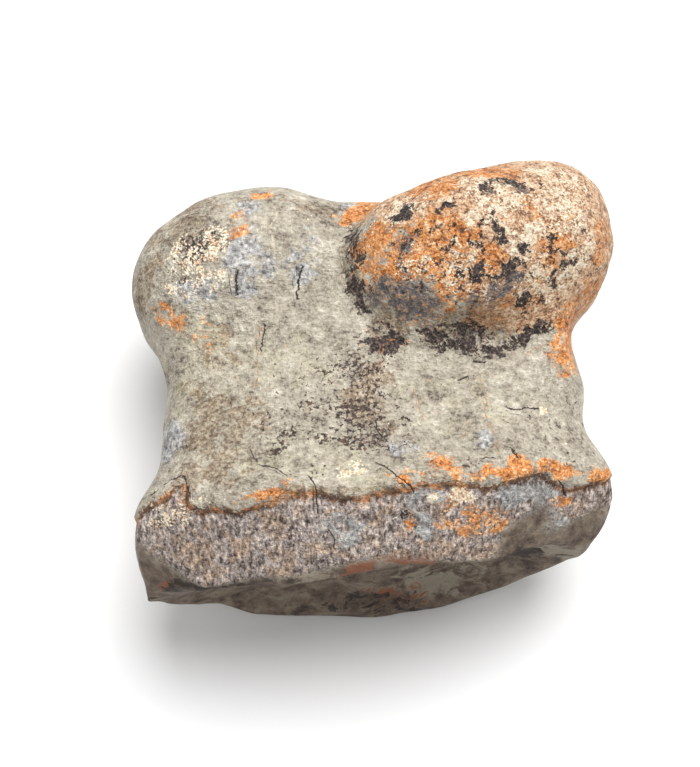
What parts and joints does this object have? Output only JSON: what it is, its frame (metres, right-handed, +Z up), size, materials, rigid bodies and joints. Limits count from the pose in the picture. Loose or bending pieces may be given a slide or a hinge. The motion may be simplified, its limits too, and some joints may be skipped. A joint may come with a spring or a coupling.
{
  "type": "fossil sauropod toe bone",
  "caption": "Stout fossil toe bone: a broad waisted shaft with a hollowed joint end, a rough band above it, and a large swollen knuckle beside a low one.",
  "frame": {"origin": "middle of the bone's bounding box in plan, at the level of the ground that it lies on", "axes": "+X across the bone, towards the big knuckle; +Y along the bone, from the hollowed joint end to the knuckles; +Z up, out of the upper face"},
  "size_m": [0.1132, 0.1012, 0.0721],
  "materials": {
    "fossil_bone": "dry weathered fossil bone, green-grey with rust-orange, cream and black mineral stains, matt to faintly waxy"
  },
  "bodies": {
    "root": {"toe_bone": "fossil_bone"}
  },
  "joints": []
}
